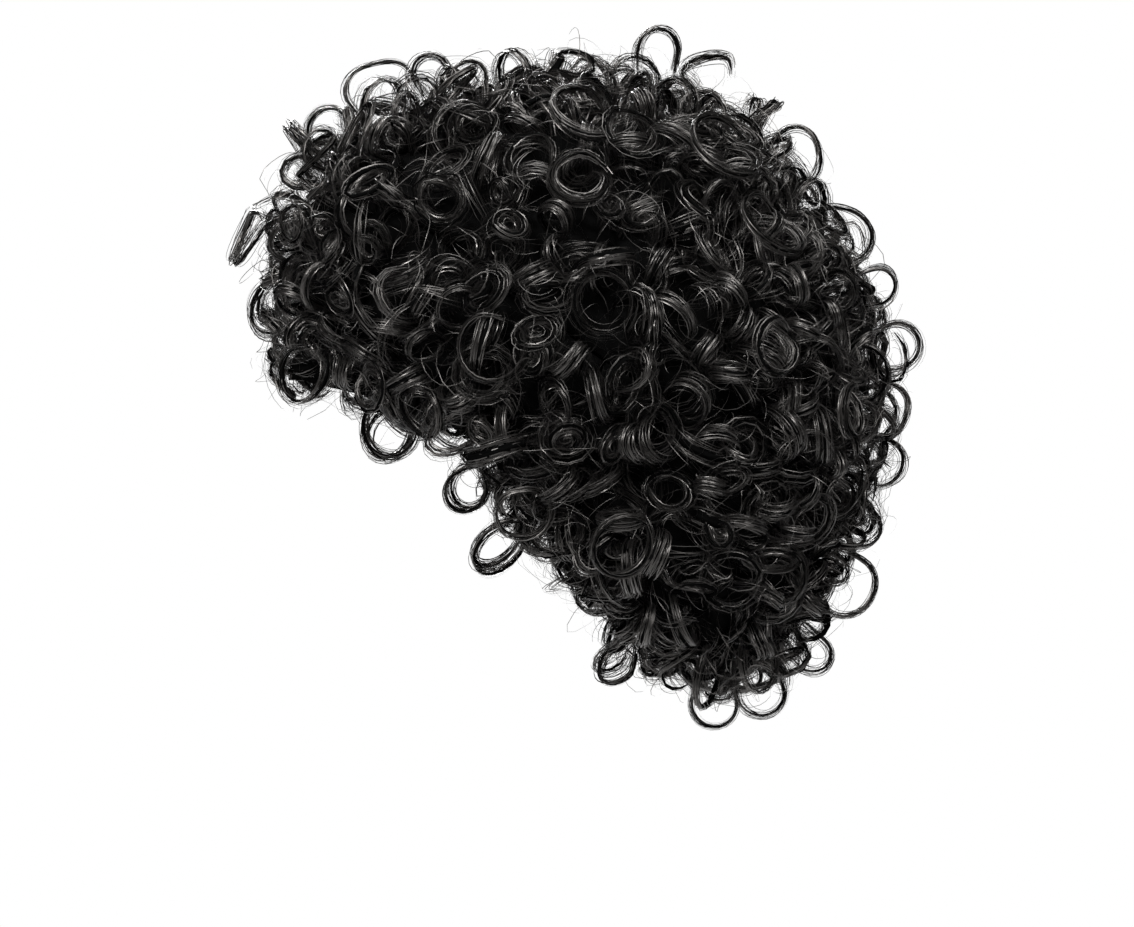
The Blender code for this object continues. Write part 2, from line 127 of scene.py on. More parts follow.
def principled(name, colour, roughness):
    """A new Principled material: its node tree, its shader node and itself."""
    material = bpy.data.materials.new(name)
    material.use_nodes = True
    tree = material.node_tree
    shader = tree.nodes["Principled BSDF"]
    shader.inputs["Base Color"].default_value = (*colour, 1)
    shader.inputs["Roughness"].default_value = roughness
    return tree, shader, material


def soft_lamp(name, place, size, power):
    """A square lamp at a place, turned to face the wig."""
    lamp = bpy.data.objects.new(name, bpy.data.lights.new(name, "AREA"))
    lamp.data.size = size
    lamp.data.energy = power
    lamp.location = place
    lamp.rotation_euler = (WIG_MIDDLE - Vector(place)).to_track_quat("-Z", "Y").to_euler()
    scene.collection.objects.link(lamp)


def to_camera_only(tree, others, camera_sees, socket):
    """Set a glow to camera_sees where the camera looks straight at it, and to others as a light on the rest."""
    path = tree.nodes.new("ShaderNodeLightPath")
    level = tree.nodes.new("ShaderNodeMapRange")
    level.inputs["To Min"].default_value = others
    level.inputs["To Max"].default_value = camera_sees
    tree.links.new(path.outputs["Is Camera Ray"], level.inputs["Value"])
    tree.links.new(level.outputs["Result"], socket)


scene.view_settings.view_transform = "Standard"
room = bpy.data.worlds.new("white_room")
room.use_nodes = True
background = room.node_tree.nodes["Background"]
background.inputs["Color"].default_value = (1, 1, 1, 1)
to_camera_only(room.node_tree, ROOM_GLOW, 1.0, background.inputs["Strength"])
scene.world = room
for row in LAMPS:
    soft_lamp(*row)

turns = np.linspace(0, 2 * np.pi, FLOOR_SIDES, endpoint=False)
rim = np.stack([np.cos(turns), np.sin(turns), np.zeros(FLOOR_SIDES)], -1) * FLOOR_RADIUS + (0, 0, FLOOR_Z)
floor_mesh = bpy.data.meshes.new("floor")
floor_mesh.from_pydata(rim.tolist(), [], [list(range(FLOOR_SIDES))])
floor = bpy.data.objects.new("floor", floor_mesh)
scene.collection.objects.link(floor)
floor_tree, floor_shader, pale_floor = principled("pale_floor", (0.9, 0.9, 0.9), 0.8)
floor_shader.inputs["Emission Color"].default_value = (1, 1, 1, 1)
to_camera_only(floor_tree, 0.0, FLOOR_GLOW, floor_shader.inputs["Emission Strength"])
floor_mesh.materials.append(pale_floor)
floor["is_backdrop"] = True
print(len(LAMPS), "lamps, floor at", FLOOR_Z, "m")

# %% [markdown]
# ## Where the hair is
#
# The CAD model lays the hair out in tiers round an axis that leans back from upright. A place on the hair is a
# direction from one point inside the cap, given by its reach down from the crown and its turn round the axis: 0
# at the front, 90 at the left and 180 at the back. The same few numbers are kept here, so that every lock lands
# on its own tier.

# %% Tiers and the hairline
HEAD = np.array([77.5, 95.5, 90.0]) * MM  # half sizes of the egg that the cap fits
EGG_MIDDLE = np.array([0, 0, -HEAD[2]])
CENTRE = np.array([0.0, 0.42 * HEAD[1], -85 * MM])
CROWN_LEAN = math.radians(35.3)
CROWN_AXIS = np.array([0.0, math.sin(CROWN_LEAN), math.cos(CROWN_LEAN)])
FRONT_AXIS = np.array([0.0, -math.cos(CROWN_LEAN), math.sin(CROWN_LEAN)])
LEFT_AXIS = np.array([1.0, 0.0, 0.0])
HAIRLINE_TURN = (0, 24, 46, 70, 89, 104, 128, 150, 180)
HAIRLINE_REACH = (124.0, 122.5, 120.5, 120.0, 124.5, 130.0, 131.5, 132.0, 127.0)
TIERS = {
    # name: near edge, far edge (None is the hairline), first turn, last turn
    "crown_hair": (0, 36, 0, 360),
    "front_top_hair": (36, 82, -45, 45),
    "left_upper_hair": (36, 82, 45, 135),
    "back_upper_hair": (36, 82, 135, 225),
    "right_upper_hair": (36, 82, 225, 315),
    "fringe_hair": (82, None, -40, 40),
    "left_temple_hair": (82, None, 40, 92),
    "left_side_hair": (82, None, 92, 145),
    "nape_hair": (82, None, 145, 215),
    "right_side_hair": (82, None, 215, 268),
    "right_temple_hair": (82, None, 268, 320),
}


def unit(vectors):
    """Vectors divided by their own length."""
    return vectors / np.linalg.norm(vectors, axis=-1, keepdims=True)


def aim(reach, turn):
    """Directions: axis * cos(reach) + (front * cos(turn) + left * sin(turn)) * sin(reach), in degrees."""
    reach, turn = np.radians(reach)[..., None], np.radians(turn)[..., None]
    return CROWN_AXIS * np.cos(reach) + (FRONT_AXIS * np.cos(turn) + LEFT_AXIS * np.sin(turn)) * np.sin(reach)


def reach_and_turn(ways):
    """The reach and turn of directions, in degrees."""
    reach = np.degrees(np.arccos(np.clip(ways @ CROWN_AXIS, -1, 1)))
    return reach, np.degrees(np.arctan2(ways @ LEFT_AXIS, ways @ FRONT_AXIS))


def flowing(keys, levels, turn):
    """A smooth curve through rows of keys and levels, read at turns in degrees, the same left and right.

    From one key to the next, with t from 0 to 1, it is (1 + 2t)(1 - t)^2 * level + t(1 - t)^2 * slope * span,
    plus t^2(3 - 2t) * next level + t^2(t - 1) * next slope * span.
    """
    folded = np.abs((np.asarray(turn, float) + 180) % 360 - 180)
    keys, levels = np.array(keys, float), np.array(levels)
    slopes = np.gradient(levels, keys)
    place = np.clip(np.searchsorted(keys, folded, side="right") - 1, 0, len(keys) - 2)
    span = keys[place + 1] - keys[place]
    t = (folded - keys[place]) / span
    start = (1 + 2 * t) * (1 - t) ** 2 * levels[place] + t * (1 - t) ** 2 * span * slopes[place]
    return start + t**2 * (3 - 2 * t) * levels[place + 1] + t**2 * (t - 1) * span * slopes[place + 1]


def hairline(turn):
    """How far down the hair reaches at each turn."""
    return flowing(HAIRLINE_TURN, HAIRLINE_REACH, turn)


def in_tier(name, ways):
    """True where a direction is in the tier."""
    near, far, first, last = TIERS[name]
    reach, turn = reach_and_turn(ways)
    turn = (turn - first) % 360 + first
    return (reach >= near) & (reach < (180 if far is None else far)) & (turn < last)


print(len(TIERS), "tiers")

# %% [markdown]
# The height of the hair is read from the CAD solids themselves. A ray from outside down to a tier finds its
# outer face, and a ray from the centre outwards finds its inner face.

# %% Measure the tiers with rays
RAY_START = 0.32


def search_tree(names):
    """One search tree over the faces of several CAD nodes."""
    points, faces = [], []
    for name in names:
        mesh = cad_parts[name].data
        start = len(points)
        points += [v.co.copy() for v in mesh.vertices]
        faces += [[start + i for i in face.vertices] for face in mesh.polygons]
    return BVHTree.FromPolygons(points, faces)


def distances(tree, starts, ways):
    """How far each ray runs before it meets a face, and NaN where it meets none."""
    hits = [tree.ray_cast(Vector(start), Vector(way))[3] for start, way in zip(starts, ways)]
    return np.array([np.nan if hit is None else hit for hit in hits])


def outer_reach(tree, ways):
    """Distance from the centre to the outer face along each way: RAY_START less the run of an inward ray."""
    flat = ways.reshape(-1, 3)
    return (RAY_START - distances(tree, CENTRE + flat * RAY_START, -flat)).reshape(ways.shape[:-1])


def inner_reach(tree, ways):
    """Distance from the centre to the inner face along each way."""
    flat = ways.reshape(-1, 3)
    return distances(tree, np.broadcast_to(CENTRE, flat.shape), flat).reshape(ways.shape[:-1])


hair_tree = search_tree(TIERS)
crown_height = outer_reach(hair_tree, CROWN_AXIS[None, :])[0]
print("hair at the crown, mm from the centre:", round(crown_height / MM))

# %% [markdown]
# ## From arrays to a mesh
#
# Everything that follows is a bundle of tubes or of strips. A tube is a row of rings of points, and
# neighbouring rings are joined by four-sided faces, with a lid on each end. A strip is a single strand: it is
# as fine as a pixel, so one face across is enough, and far more strands can be laid for the same weight. All
# tubes or strips of a bundle have as many points, so their faces are plain index sums and need no loop. Each
# one also gets a flat map: across it, and along it with the strand, so a pattern can follow the hair.

# %% Bundles of tubes and strips
MAP_STEP = 7.31


def bundle(rings, finish, along=1.0, looped=False):
    """Faces and map of tubes whose points have the shape (tube, ring, point, xyz).

    Corner s of ring j joins corner s + 1 of ring j, then the same two of ring j + 1. A looped tube joins
    its last ring to its first. Tubes lie MAP_STEP apart on the map, so no two share a pattern.
    """
    tubes, steps, sides = rings.shape[:3]
    spans = steps if looped else steps - 1
    tube, step, side = np.meshgrid(np.arange(tubes), np.arange(spans), np.arange(sides), indexing="ij")
    ahead, beside = (step + 1) % steps, (side + 1) % sides

    def corner(j, s):
        return (tube * steps + j) * sides + s

    quads = np.stack([corner(step, side), corner(step, beside), corner(ahead, beside), corner(ahead, side)], -1)
    shift = tube * MAP_STEP
    low, high = step * along / spans + shift, (step + 1) * along / spans + shift
    left, right = side / sides, (side + 1) / sides
    quad_map = np.stack([left, low, right, low, right, high, left, high], -1).reshape(-1, 4, 2)
    first = np.arange(tubes)[:, None] * steps * sides
    lids = np.concatenate([first + np.arange(sides)[::-1], first + (steps - 1) * sides + np.arange(sides)])
    if looped:
        lids = lids[:0]
    lid_map = np.zeros((len(lids), sides, 2)) + 0.5
    return {
        "points": rings.reshape(-1, 3),
        "quads": quads.reshape(-1, 4),
        "quad_map": quad_map,
        "lids": lids,
        "lid_map": lid_map,
        "finish": finish,
    }


def strips(rails, finish):
    """Faces and map of strands whose two rails have the shape (strand, step, 2, xyz).

    The left rail at step j joins the right rail at step j, then the right and the left rail at step j + 1.
    """
    strands, steps = rails.shape[:2]
    strand, step = np.meshgrid(np.arange(strands), np.arange(steps - 1), indexing="ij")
    first = 2 * (strand * steps + step)
    low = strand * MAP_STEP + step / (steps - 1)
    high, left, right = low + 1 / (steps - 1), np.zeros(low.shape), np.ones(low.shape)
    return {
        "points": rails.reshape(-1, 3),
        "quads": np.stack([first, first + 1, first + 3, first + 2], -1).reshape(-1, 4),
        "quad_map": np.stack([left, low, right, low, right, high, left, high], -1).reshape(-1, 4, 2),
        "lids": np.zeros((0, 3), int),
        "lid_map": np.zeros((0, 3, 2)),
        "finish": finish,
    }


def piece(name, bundles, finishes, replaced):
    """One object made of several bundles, smooth, riding on the root and standing for CAD nodes."""
    mesh = bpy.data.meshes.new(name)
    starts = np.cumsum([0] + [len(b["points"]) for b in bundles])
    corners, sizes, flat_map, finish = [], [], [], []
    for begin, b in zip(starts, bundles):
        for faces, where in ((b["quads"], b["quad_map"]), (b["lids"], b["lid_map"])):
            corners.append((faces + begin).ravel())
            sizes.append(np.full(len(faces), faces.shape[1]))
            flat_map.append(where.reshape(-1, 2))
            finish.append(np.full(len(faces), b["finish"]))
    corners, sizes = np.concatenate(corners), np.concatenate(sizes)
    points = np.concatenate([b["points"] for b in bundles])
    mesh.vertices.add(len(points))
    mesh.vertices.foreach_set("co", points.ravel())
    mesh.loops.add(len(corners))
    mesh.loops.foreach_set("vertex_index", corners.astype(np.int32))
    mesh.polygons.add(len(sizes))
    mesh.polygons.foreach_set("loop_start", (np.cumsum(sizes) - sizes).astype(np.int32))
    mesh.uv_layers.new(name="strand_map").data.foreach_set("uv", np.concatenate(flat_map).ravel())
    for material in finishes:
        mesh.materials.append(material)
    mesh.polygons.foreach_set("material_index", np.concatenate(finish).astype(np.int32))
    mesh.update(calc_edges=True)
    mesh.shade_smooth()
    made = bpy.data.objects.new(name, mesh)
    scene.collection.objects.link(made)
    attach(made, "root")
    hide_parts(*replaced)
    triangles = int((sizes - 2).sum())
    print(name, triangles, "triangles")
    return triangles


total_triangles = 0

# %% [markdown]
# The middle of a lock is an oval swept along a line, wide one way and thin the other; its shineless black is
# painted shade for the inside of the lock. A strand is two rails beside a line. Each strand leans its own way
# and turns a little as it goes, so only some of them catch a lamp, which breaks the shine of a lock into
# streaks.

# %% Sweep ovals and strands along lines
LEAN_SPREAD, LEAN_TURN, LEAN_MOST = 0.62, 0.7, 1.45  # radians


def sweep(lines, wide_way, wide, thin, sides):
    """Rings of tubes along lines of shape (tube, step, xyz).

    Point k of a ring is line + wide * cos(a) * e + thin * sin(a) * f, where a is k / sides of a full turn, e
    is the wide way made square to the line, and f is square to both.
    """
    along = unit(np.gradient(lines, axis=1))
    e = unit(wide_way - (wide_way * along).sum(-1, keepdims=True) * along)
    f = np.cross(along, e)
    angle = 2 * np.pi * np.arange(sides)[None, None, :] / sides
    out = (wide[..., None] * np.cos(angle))[..., None] * e[:, :, None]
    return lines[:, :, None] + out + (thin[..., None] * np.sin(angle))[..., None] * f[:, :, None]


def rails(lines, away, lean, half):
    """The two edges of strands along lines of shape (strand, step, xyz).

    The front of a strand looks along n = cos(lean) * a + sin(lean) * s, where a is the away direction made
    square to the line and s is square to both. The edges are the line less and plus half * (line way x n).
    """
    along = unit(np.gradient(lines, axis=1))
    front = unit(away - (away * along).sum(-1, keepdims=True) * along)
    beside = np.cross(along, front)
    look = np.cos(lean)[..., None] * front + np.sin(lean)[..., None] * beside
    step = half[..., None] * np.cross(along, look)
    return np.stack([lines - step, lines + step], axis=2)


def leaning(rng, strands, steps):
    """Angles of lean along strands: a random middle one, and a slow turn of up to LEAN_TURN to each end."""
    middle, turn = rng.normal(0, LEAN_SPREAD, (strands, 1)), rng.uniform(-LEAN_TURN, LEAN_TURN, (strands, 1))
    return np.clip(middle + turn * np.linspace(-1, 1, steps), -LEAN_MOST, LEAN_MOST)


print("a strand leans by up to", round(math.degrees(LEAN_MOST)), "degrees")

# %% [markdown]
# ## The finish of the hair
#
# Synthetic hair is almost black, with a hard gloss that breaks up into streaks, because each of its fine
# strands catches the light a little differently. A noise that is stretched along the strand changes its
# colour, roughness and bump, so it is smooth in one place and dull in the next. The depth between the strands
# is painted shade: a second finish, darker and with no shine at all.

# %% Hair finishes
WARM_TINT = (1.0, 0.95, 0.91, 1)
STRAND_RELIEF = 0.06 * MM


def stretched_noise(tree, squeeze, stretch, detail):
    """Noise on the piece's own map, with as many spots across a strand as squeeze and along it as stretch."""
    place = tree.nodes.new("ShaderNodeUVMap")
    place.uv_map = "strand_map"
    turned = tree.nodes.new("ShaderNodeMapping")
    turned.inputs["Scale"].default_value = (squeeze, stretch, 1)
    noise = tree.nodes.new("ShaderNodeTexNoise")
    noise.inputs["Scale"].default_value = 1.0
    noise.inputs["Detail"].default_value = detail
    tree.links.new(place.outputs["UV"], turned.inputs["Vector"])
    tree.links.new(turned.outputs["Vector"], noise.inputs["Vector"])
    return noise


def ramp(tree, pattern, low, high, start=0.3, stop=0.7):
    """A colour ramp between two colours, driven by a pattern."""
    node = tree.nodes.new("ShaderNodeValToRGB")
    node.color_ramp.elements[0].position = start
    node.color_ramp.elements[1].position = stop
    node.color_ramp.elements[0].color = (*low, 1)
    node.color_ramp.elements[1].color = (*high, 1)
    tree.links.new(pattern, node.inputs["Fac"])
    return node


def raise_by(tree, shader, pattern, strength, height):
    """A bump that lifts the surface where a pattern is high."""
    raised = tree.nodes.new("ShaderNodeBump")
    raised.inputs["Strength"].default_value = strength
    raised.inputs["Distance"].default_value = height
    tree.links.new(pattern, raised.inputs["Height"])
    tree.links.new(raised.outputs["Normal"], shader.inputs["Normal"])


def hair_finish(name, dark, light, smooth, rough, bump, shine):
    """Black hair: streaky colour and roughness, and a bump of fine parallel strands."""
    tree, shader, material = principled(name, dark, rough)
    streaks = stretched_noise(tree, squeeze=3.5, stretch=2.5, detail=2.0).outputs["Fac"]
    slow = stretched_noise(tree, squeeze=0.4, stretch=2.0, detail=1.0).outputs["Fac"]
    colour = ramp(tree, streaks, dark, light)
    gloss = ramp(tree, slow, (smooth,) * 3, (rough,) * 3)
    tree.links.new(colour.outputs["Color"], shader.inputs["Base Color"])
    tree.links.new(gloss.outputs["Color"], shader.inputs["Roughness"])
    raise_by(tree, shader, streaks, bump, STRAND_RELIEF)
    shader.inputs["Specular IOR Level"].default_value = shine
    shader.inputs["Specular Tint"].default_value = WARM_TINT
    return material


GLOSS_DARK, GLOSS_LIGHT = (0.0009, 0.0008, 0.0008), (0.0075, 0.0069, 0.0065)
hair_finishes = [
    hair_finish("gloss_hair", GLOSS_DARK, GLOSS_LIGHT, smooth=0.27, rough=0.48, bump=0.5, shine=0.5),
    # painted shade: a darker black with no shine, for the beds and lock cores, stands in for the shade deep
    # between strands
    hair_finish("painted_shade_hair", (0.0006,) * 3, (0.002,) * 3, smooth=0.85, rough=1.0, bump=0.3, shine=0.0),
]
GLOSSY, PAINTED_SHADE = 0, 1  # their places in that list
print("hair finishes:", [m.name for m in hair_finishes])

# %% [markdown]
# ## Rings of hair
#
# Every lock follows a spring: it goes round a ring, shrinks a little towards its tip and drifts along the
# ring's axis. Its root end dives into the hair below. Rings differ in size, in how far they are flattened and
# in the way they face, so that some are seen as circles and others from the edge.

# %% Ring lines
DIVE = 12 * MM
ROOT_SHARE = 0.16
WARP = 2.2 * MM
HEAD_ROOM = 2.6 * MM
ANY_PHASE = 6.3  # a full turn in radians, for waves that may start anywhere


def random_rings(rng, feet, out, radius, face_share, sink):
    """Random rings at points on the hair: a table of centres, axes and sizes.

    A facing ring has its axis near the outward way and lies just under the surface. Any other ring has its
    axis along the surface and stands half out of it.
    """
    n = len(feet)
    some = unit(rng.normal(size=(n, 3)))
    flat = unit(np.cross(out, some))
    facing = rng.random(n) < face_share
    tilt = np.where(facing, rng.uniform(0, 0.7, n), rng.uniform(0.9, 1.57, n))[:, None]
    axis = unit(out * np.cos(tilt) + flat * np.sin(tilt))
    size = rng.uniform(*radius, n)
    depth = np.where(facing, rng.uniform(-2 * MM, 5 * MM, n), size - rng.uniform(2 * MM, 10 * MM, n)) + sink
    first = -out - (-out * axis).sum(-1, keepdims=True) * axis
    spun = unit(np.cross(axis, unit(rng.normal(size=(n, 3)))))
    first = unit(np.where(facing[:, None], spun, unit(first + 0.25 * spun)))
    return {
        "centre": feet - out * depth[:, None] + flat * rng.normal(0, 2 * MM, (n, 1)),
        "axis": axis,
        "first": first,
        "second": np.cross(axis, first),
        "out": out,
        "radius": size,
        "facing": facing.astype(float),
        "turns": rng.uniform(0.9, 1.5, n),
        "drift": rng.choice([-1, 1], n) * rng.uniform(3 * MM, 9 * MM, n),
        "squash": rng.uniform(0.7, 1.12, n),
        "phase": rng.uniform(0, ANY_PHASE, n),
    }


def kept_out(points):
    """Points with those inside the egg, grown by HEAD_ROOM, moved straight out to its surface."""
    depth = np.linalg.norm((points - EGG_MIDDLE) / (HEAD + HEAD_ROOM), axis=-1, keepdims=True)
    return EGG_MIDDLE + (points - EGG_MIDDLE) / np.minimum(depth, 1)


def ring_lines(rings, out_by, side_by, finish_at):
    """Lines of shape (ring * copy, step, xyz) for several copies of each ring.

    With t from 0 to finish_at and a = turns * t full turns, a point is
    centre + (size + out_by) * (cos a * first + squash * sin a * second) + (rise + side_by) * axis,
    where size is radius * (1.08 - 0.22 t + a slow wave of a tenth) and rise is drift * turns * (t - 0.5). A
    slow wave of WARP along the axis keeps the ring from lying in one plane, and near the root the point
    sinks by DIVE * (1 - t / ROOT_SHARE) squared.
    """
    column = {k: v[:, None, None] if v.ndim == 1 else v[:, None, None, :] for k, v in rings.items()}
    steps = out_by.shape[-1]
    t = np.linspace(0, 1, steps) * finish_at
    angle = 2 * np.pi * column["turns"] * t
    uneven = 1.08 - 0.22 * t + 0.10 * np.sin(0.63 * angle + column["phase"])
    size = column["radius"] * uneven + out_by
    rise = column["drift"] * column["turns"] * (t - 0.5) + side_by
    rise = rise + WARP * np.sin(1.3 * angle - 2 * column["phase"])
    dive = DIVE * np.clip(1 - t / ROOT_SHARE, 0, 1) ** 2
    swing = np.cos(angle)[..., None] * column["first"]
    swing = swing + (column["squash"] * np.sin(angle))[..., None] * column["second"]
    points = column["centre"] + size[..., None] * swing
    points = points + rise[..., None] * column["axis"] - dive[..., None] * column["out"]
    return kept_out(points.reshape(-1, steps, 3))


def tapered(steps, root, tip):
    """Thickness along a lock as a share: full in the middle, less at the root and the tip."""
    return np.interp(np.linspace(0, 1, steps), (0, 0.12, 0.7, 1), (root, 1, 0.92, tip))


print("roots dive", round(DIVE / MM), "mm")

# %% [markdown]
# One lock is a flat core, dark as painted shade for its inside, with some thirty strands on and round it. The
# strands keep together in a few groups, and each strays a little more as it goes, so they cross and part like
# real hair. In a ring that faces outwards they spread over a broad ring, and in one seen from the edge they
# spread into a broad band.

# %% Locks of cores and strands
GROUPS = 5


def grouped(rng, rings, copies, steps, spread, wave):
    """Offsets of strands: spread * (place of the group + the strand's own + wave * sin) * (0.8 + 0.5 t).

    The wave has a random length and start, and t goes from 0 at the root to 1 at the tip.
    """
    group = rng.integers(0, GROUPS, (rings, copies))
    place = np.take_along_axis(rng.uniform(-0.85, 0.85, (rings, GROUPS)), group, axis=1)
    base = (place + rng.normal(0, 0.30, (rings, copies)))[..., None]
    t = np.linspace(0, 1, steps)
    turns = rng.uniform(0.4, 1.7, (rings, copies, 1))
    turn = turns * 2 * np.pi * t + rng.uniform(0, ANY_PHASE, (rings, copies, 1))
    return spread * (base + wave * np.sin(turn)) * (0.8 + 0.5 * t)


def lock_core(rng, rings, steps, wide, thin):
    """The middle of locks, dark and shineless as painted shade: one flat tube of four sides a ring, wide along
    the ring's axis.
    """
    n = len(rings["centre"])
    none = np.zeros((n, 1, steps))
    lines = ring_lines(rings, none, none, rng.uniform(0.9, 0.97, (n, 1, 1)))
    share = rng.uniform(0.6, 1.1, (n, 1)) * tapered(steps, root=0.5, tip=0.15)
    # painted shade: the core gets the dark, shineless finish that stands in for shade inside the lock
    return bundle(sweep(lines, rings["axis"][:, None, :], wide * share, thin * share, sides=4), PAINTED_SHADE)


def lock_strands(rng, rings, copies, steps, half, broad, narrow):
    """Single strands of locks, spread broad in the plane of a facing ring and along the axis of any other."""
    n = len(rings["centre"])
    facing = rings["facing"][:, None, None]
    out_spread = narrow + (broad - narrow) * facing
    side_spread = broad - (broad - narrow) * facing
    out_by = grouped(rng, n, copies, steps, out_spread, wave=0.30) - 0.4 * broad * facing
    side_by = grouped(rng, n, copies, steps, side_spread, wave=0.22)
    lines = ring_lines(rings, out_by, side_by, rng.uniform(0.75, 1.06, (n, copies, 1)))
    away = lines - np.repeat(rings["centre"], copies, axis=0)[:, None, :]
    share = half * np.exp(rng.normal(-0.1, 0.3, (n * copies, 1))) * tapered(steps, root=0.8, tip=0.3)
    return strips(rails(lines, away, leaning(rng, n * copies, steps), share), GLOSSY)


print("a lock has a dark core and strands in", GROUPS, "groups")

# %% [markdown]
# ## Places for the locks
#
# Sunflower seeds spread evenly because each one is turned from the last by the golden angle. The same rule
# spreads the locks over the hair. Each place is then shaken a little, so that no spiral shows.

# %% Spread the locks
GOLDEN_TURN = 180 * (3 - math.sqrt(5))
LOWEST = 133.0


def spread_ways(rng, count, inset, shake):
    """Directions on the hair: reach from an even share of the cap of a sphere, turn by the golden angle."""
    k = np.arange(count) + 0.5
    reach = np.degrees(np.arccos(1 - k / count * (1 - math.cos(math.radians(LOWEST)))))
    ways = unit(aim(reach, k * GOLDEN_TURN + rng.uniform(0, 360)) + rng.normal(0, shake, (count, 3)))
    reach, turn = reach_and_turn(ways)
    return ways[reach < hairline(turn) - inset]


def surface(ways):
    """Points on the outer face of the hair, dropping ways that miss it."""
    reach = outer_reach(hair_tree, ways)
    found = ~np.isnan(reach)
    return (CENTRE + ways * reach[:, None])[found], ways[found]


rng = np.random.default_rng(11)
outer_feet, outer_out = surface(spread_ways(rng, 535, inset=1.0, shake=0.028))
under_feet, under_out = surface(spread_ways(rng, 240, inset=2.0, shake=0.030))
tuft_feet, tuft_out = surface(spread_ways(rng, 420, inset=0.5, shake=0.05))
frizz_feet, frizz_out = surface(spread_ways(rng, 4600, inset=0.0, shake=0.05))
print(len(outer_feet), "outer locks,", len(under_feet), "under locks")
print(len(tuft_feet), "tufts,", len(frizz_feet), "stray strands")

# %% [markdown]
# ## The bed
#
# Between the rings one looks down on more hair. A closed shell stands for it: its outer face lies 18 mm under
# the CAD surface and rolls in small waves, and its inner face is that of the CAD solid, so the hollow stays
# open. The round tier on the crown is drawn as a square grid that is bent into a disc, which has no pole to
# pinch.

# %% Shells under the locks
BED_DEPTH = 18 * MM
BED_LEAST = 2 * MM
BED_WAVE = 2.5 * MM
BED_WAVES = np.array([[61.0, 23.0, 37.0], [-29.0, 67.0, 19.0]])
BED_GRID = 20
TIER_GAP = 0.5  # degrees


def tier_ways(name):
    """A grid of directions over a tier, drawn in by TIER_GAP from its neighbours."""
    near, far, first, last = TIERS[name]
    u, v = np.meshgrid(np.linspace(0, 1, BED_GRID), np.linspace(0, 1, BED_GRID), indexing="ij")
    if near == 0:
        x, y = 2 * u - 1, 2 * v - 1
        disc_x, disc_y = x * np.sqrt(1 - y**2 / 2), y * np.sqrt(1 - x**2 / 2)
        reach = (far - TIER_GAP) * np.hypot(disc_x, disc_y)
        return aim(reach, np.degrees(np.arctan2(disc_y, disc_x)))
    turn = first + TIER_GAP + v * (last - first - 2 * TIER_GAP)
    end = (hairline(turn) if far is None else far) - TIER_GAP
    return aim(near + TIER_GAP + u * (end - near - TIER_GAP), turn)


def filled(reach):
    """A grid with its gaps filled by the mean of what was found."""
    return np.where(np.isnan(reach), np.nanmean(reach), reach)


def bed(name):
    """The shell of one tier: an outer grid, an inner grid and four walls, as one closed bundle.

    The outer grid is centre + way * (outer reach - BED_DEPTH + BED_WAVE * a product of two sines), and no less
    than BED_LEAST above the inner one. If a middle face looks inwards, all faces are turned round.
    """
    tree = search_tree([name])
    ways = tier_ways(name)
    outer, inner = filled(outer_reach(tree, ways)), filled(inner_reach(tree, ways))
    waves = np.sin(ways @ BED_WAVES[0]) * np.sin(ways @ BED_WAVES[1])
    outer = np.maximum(outer - BED_DEPTH + BED_WAVE * waves, inner + BED_LEAST)
    top, under = CENTRE + ways * outer[..., None], CENTRE + ways * inner[..., None]
    n = BED_GRID
    index = np.arange(n * n).reshape(n, n)
    base = n * n
    quads = [np.stack([index[:-1, :-1], index[1:, :-1], index[1:, 1:], index[:-1, 1:]], -1).reshape(-1, 4)]
    quads.append(quads[0][:, ::-1] + base)
    edge = np.concatenate([index[0, :-1], index[:-1, -1], index[-1, :0:-1], index[:0:-1, 0]])
    ahead = np.roll(edge, -1)
    quads.append(np.stack([edge, ahead, ahead + base, edge + base], -1))
    quads = np.concatenate(quads)
    points = np.concatenate([top.reshape(-1, 3), under.reshape(-1, 3)])
    a, b, _, d = points[quads[n * n // 2]]
    if np.dot(np.cross(b - a, d - a), a - CENTRE) < 0:
        quads = quads[:, ::-1]
    grid_map = np.stack(np.meshgrid(np.arange(n) / 3, np.arange(n) / 3, indexing="ij"), -1).reshape(-1, 2)
    return {
        "points": points,
        "quads": quads,
        "quad_map": np.concatenate([grid_map, grid_map])[quads],
        "lids": np.zeros((0, 4), int),
        "lid_map": np.zeros((0, 4, 2)),
        # painted shade: the shell stands for the hair below the rings, made darker and shineless so the depth
        # reads as shade
        "finish": PAINTED_SHADE,
    }


print("bed grid", BED_GRID, "by", BED_GRID)

# %% [markdown]
# ## Hair, tier by tier
#
# Each tier is one object: its bed, a layer of plain locks half hidden in it, the outer locks, short tufts that
# lie across them, and single strands that have come loose. On the low tiers the inner face shows below the cap
# too, so it gets locks of its own that lie against it.

# %% Build the tiers
OUTER_RADIUS = (6.5 * MM, 15.0 * MM)
UNDER_RADIUS = (9.0 * MM, 15.0 * MM)
UNDER_SINK = 9 * MM
LINING_TOP = -105 * MM
STANDING_SHARE = 0.36


def chosen(name, feet, out):
    """The feet and outward ways that belong to a tier."""
    inside = in_tier(name, out)
    return feet[inside], out[inside]


def stray_strands(rng, feet, out):
    """Single fine strands near the surface, each a part of a wide ring. Some stand clear of it."""
    n = len(feet)
    stands = rng.random((n, 1)) < STANDING_SHARE
    height = np.where(stands, rng.uniform(2, 10, (n, 1)), rng.uniform(-7, 4, (n, 1))) * MM
    rings = random_rings(rng, feet + out * height, out, (7 * MM, 20 * MM), face_share=0.5, sink=0)
    rings["turns"] = rng.uniform(0.25, 0.8, n)
    rings["squash"] = rng.uniform(0.4, 1.1, n)
    return lock_strands(rng, rings, copies=1, steps=11, half=0.13 * MM, broad=2 * MM, narrow=2 * MM)


